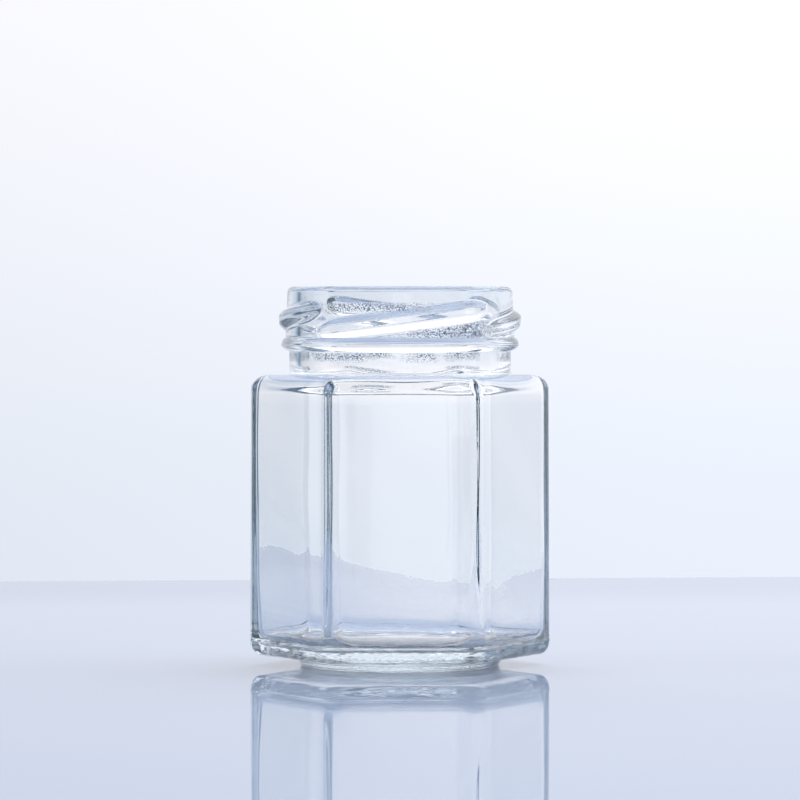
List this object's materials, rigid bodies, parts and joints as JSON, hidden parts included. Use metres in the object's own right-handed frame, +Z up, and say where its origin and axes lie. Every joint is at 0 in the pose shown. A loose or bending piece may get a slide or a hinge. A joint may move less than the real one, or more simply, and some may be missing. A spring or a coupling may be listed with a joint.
{
  "type": "hexagonal glass jar",
  "caption": "Empty clear glass jar with a six-sided body, rounded shoulder, wide round mouth and a twist-off neck with slanting lugs above a transfer bead.",
  "frame": {"origin": "on the surface the jar stands on, under the middle of its base", "axes": "+Z up through the mouth, -Y out of the front flat, +X through one corner of the hexagon"},
  "size_m": [0.0574, 0.0506, 0.0723],
  "materials": {
    "glass": "clear flint glass, fire-polished, very slightly blue-grey in its thick edges"
  },
  "bodies": {
    "root": {"jar": "glass"}
  },
  "joints": []
}
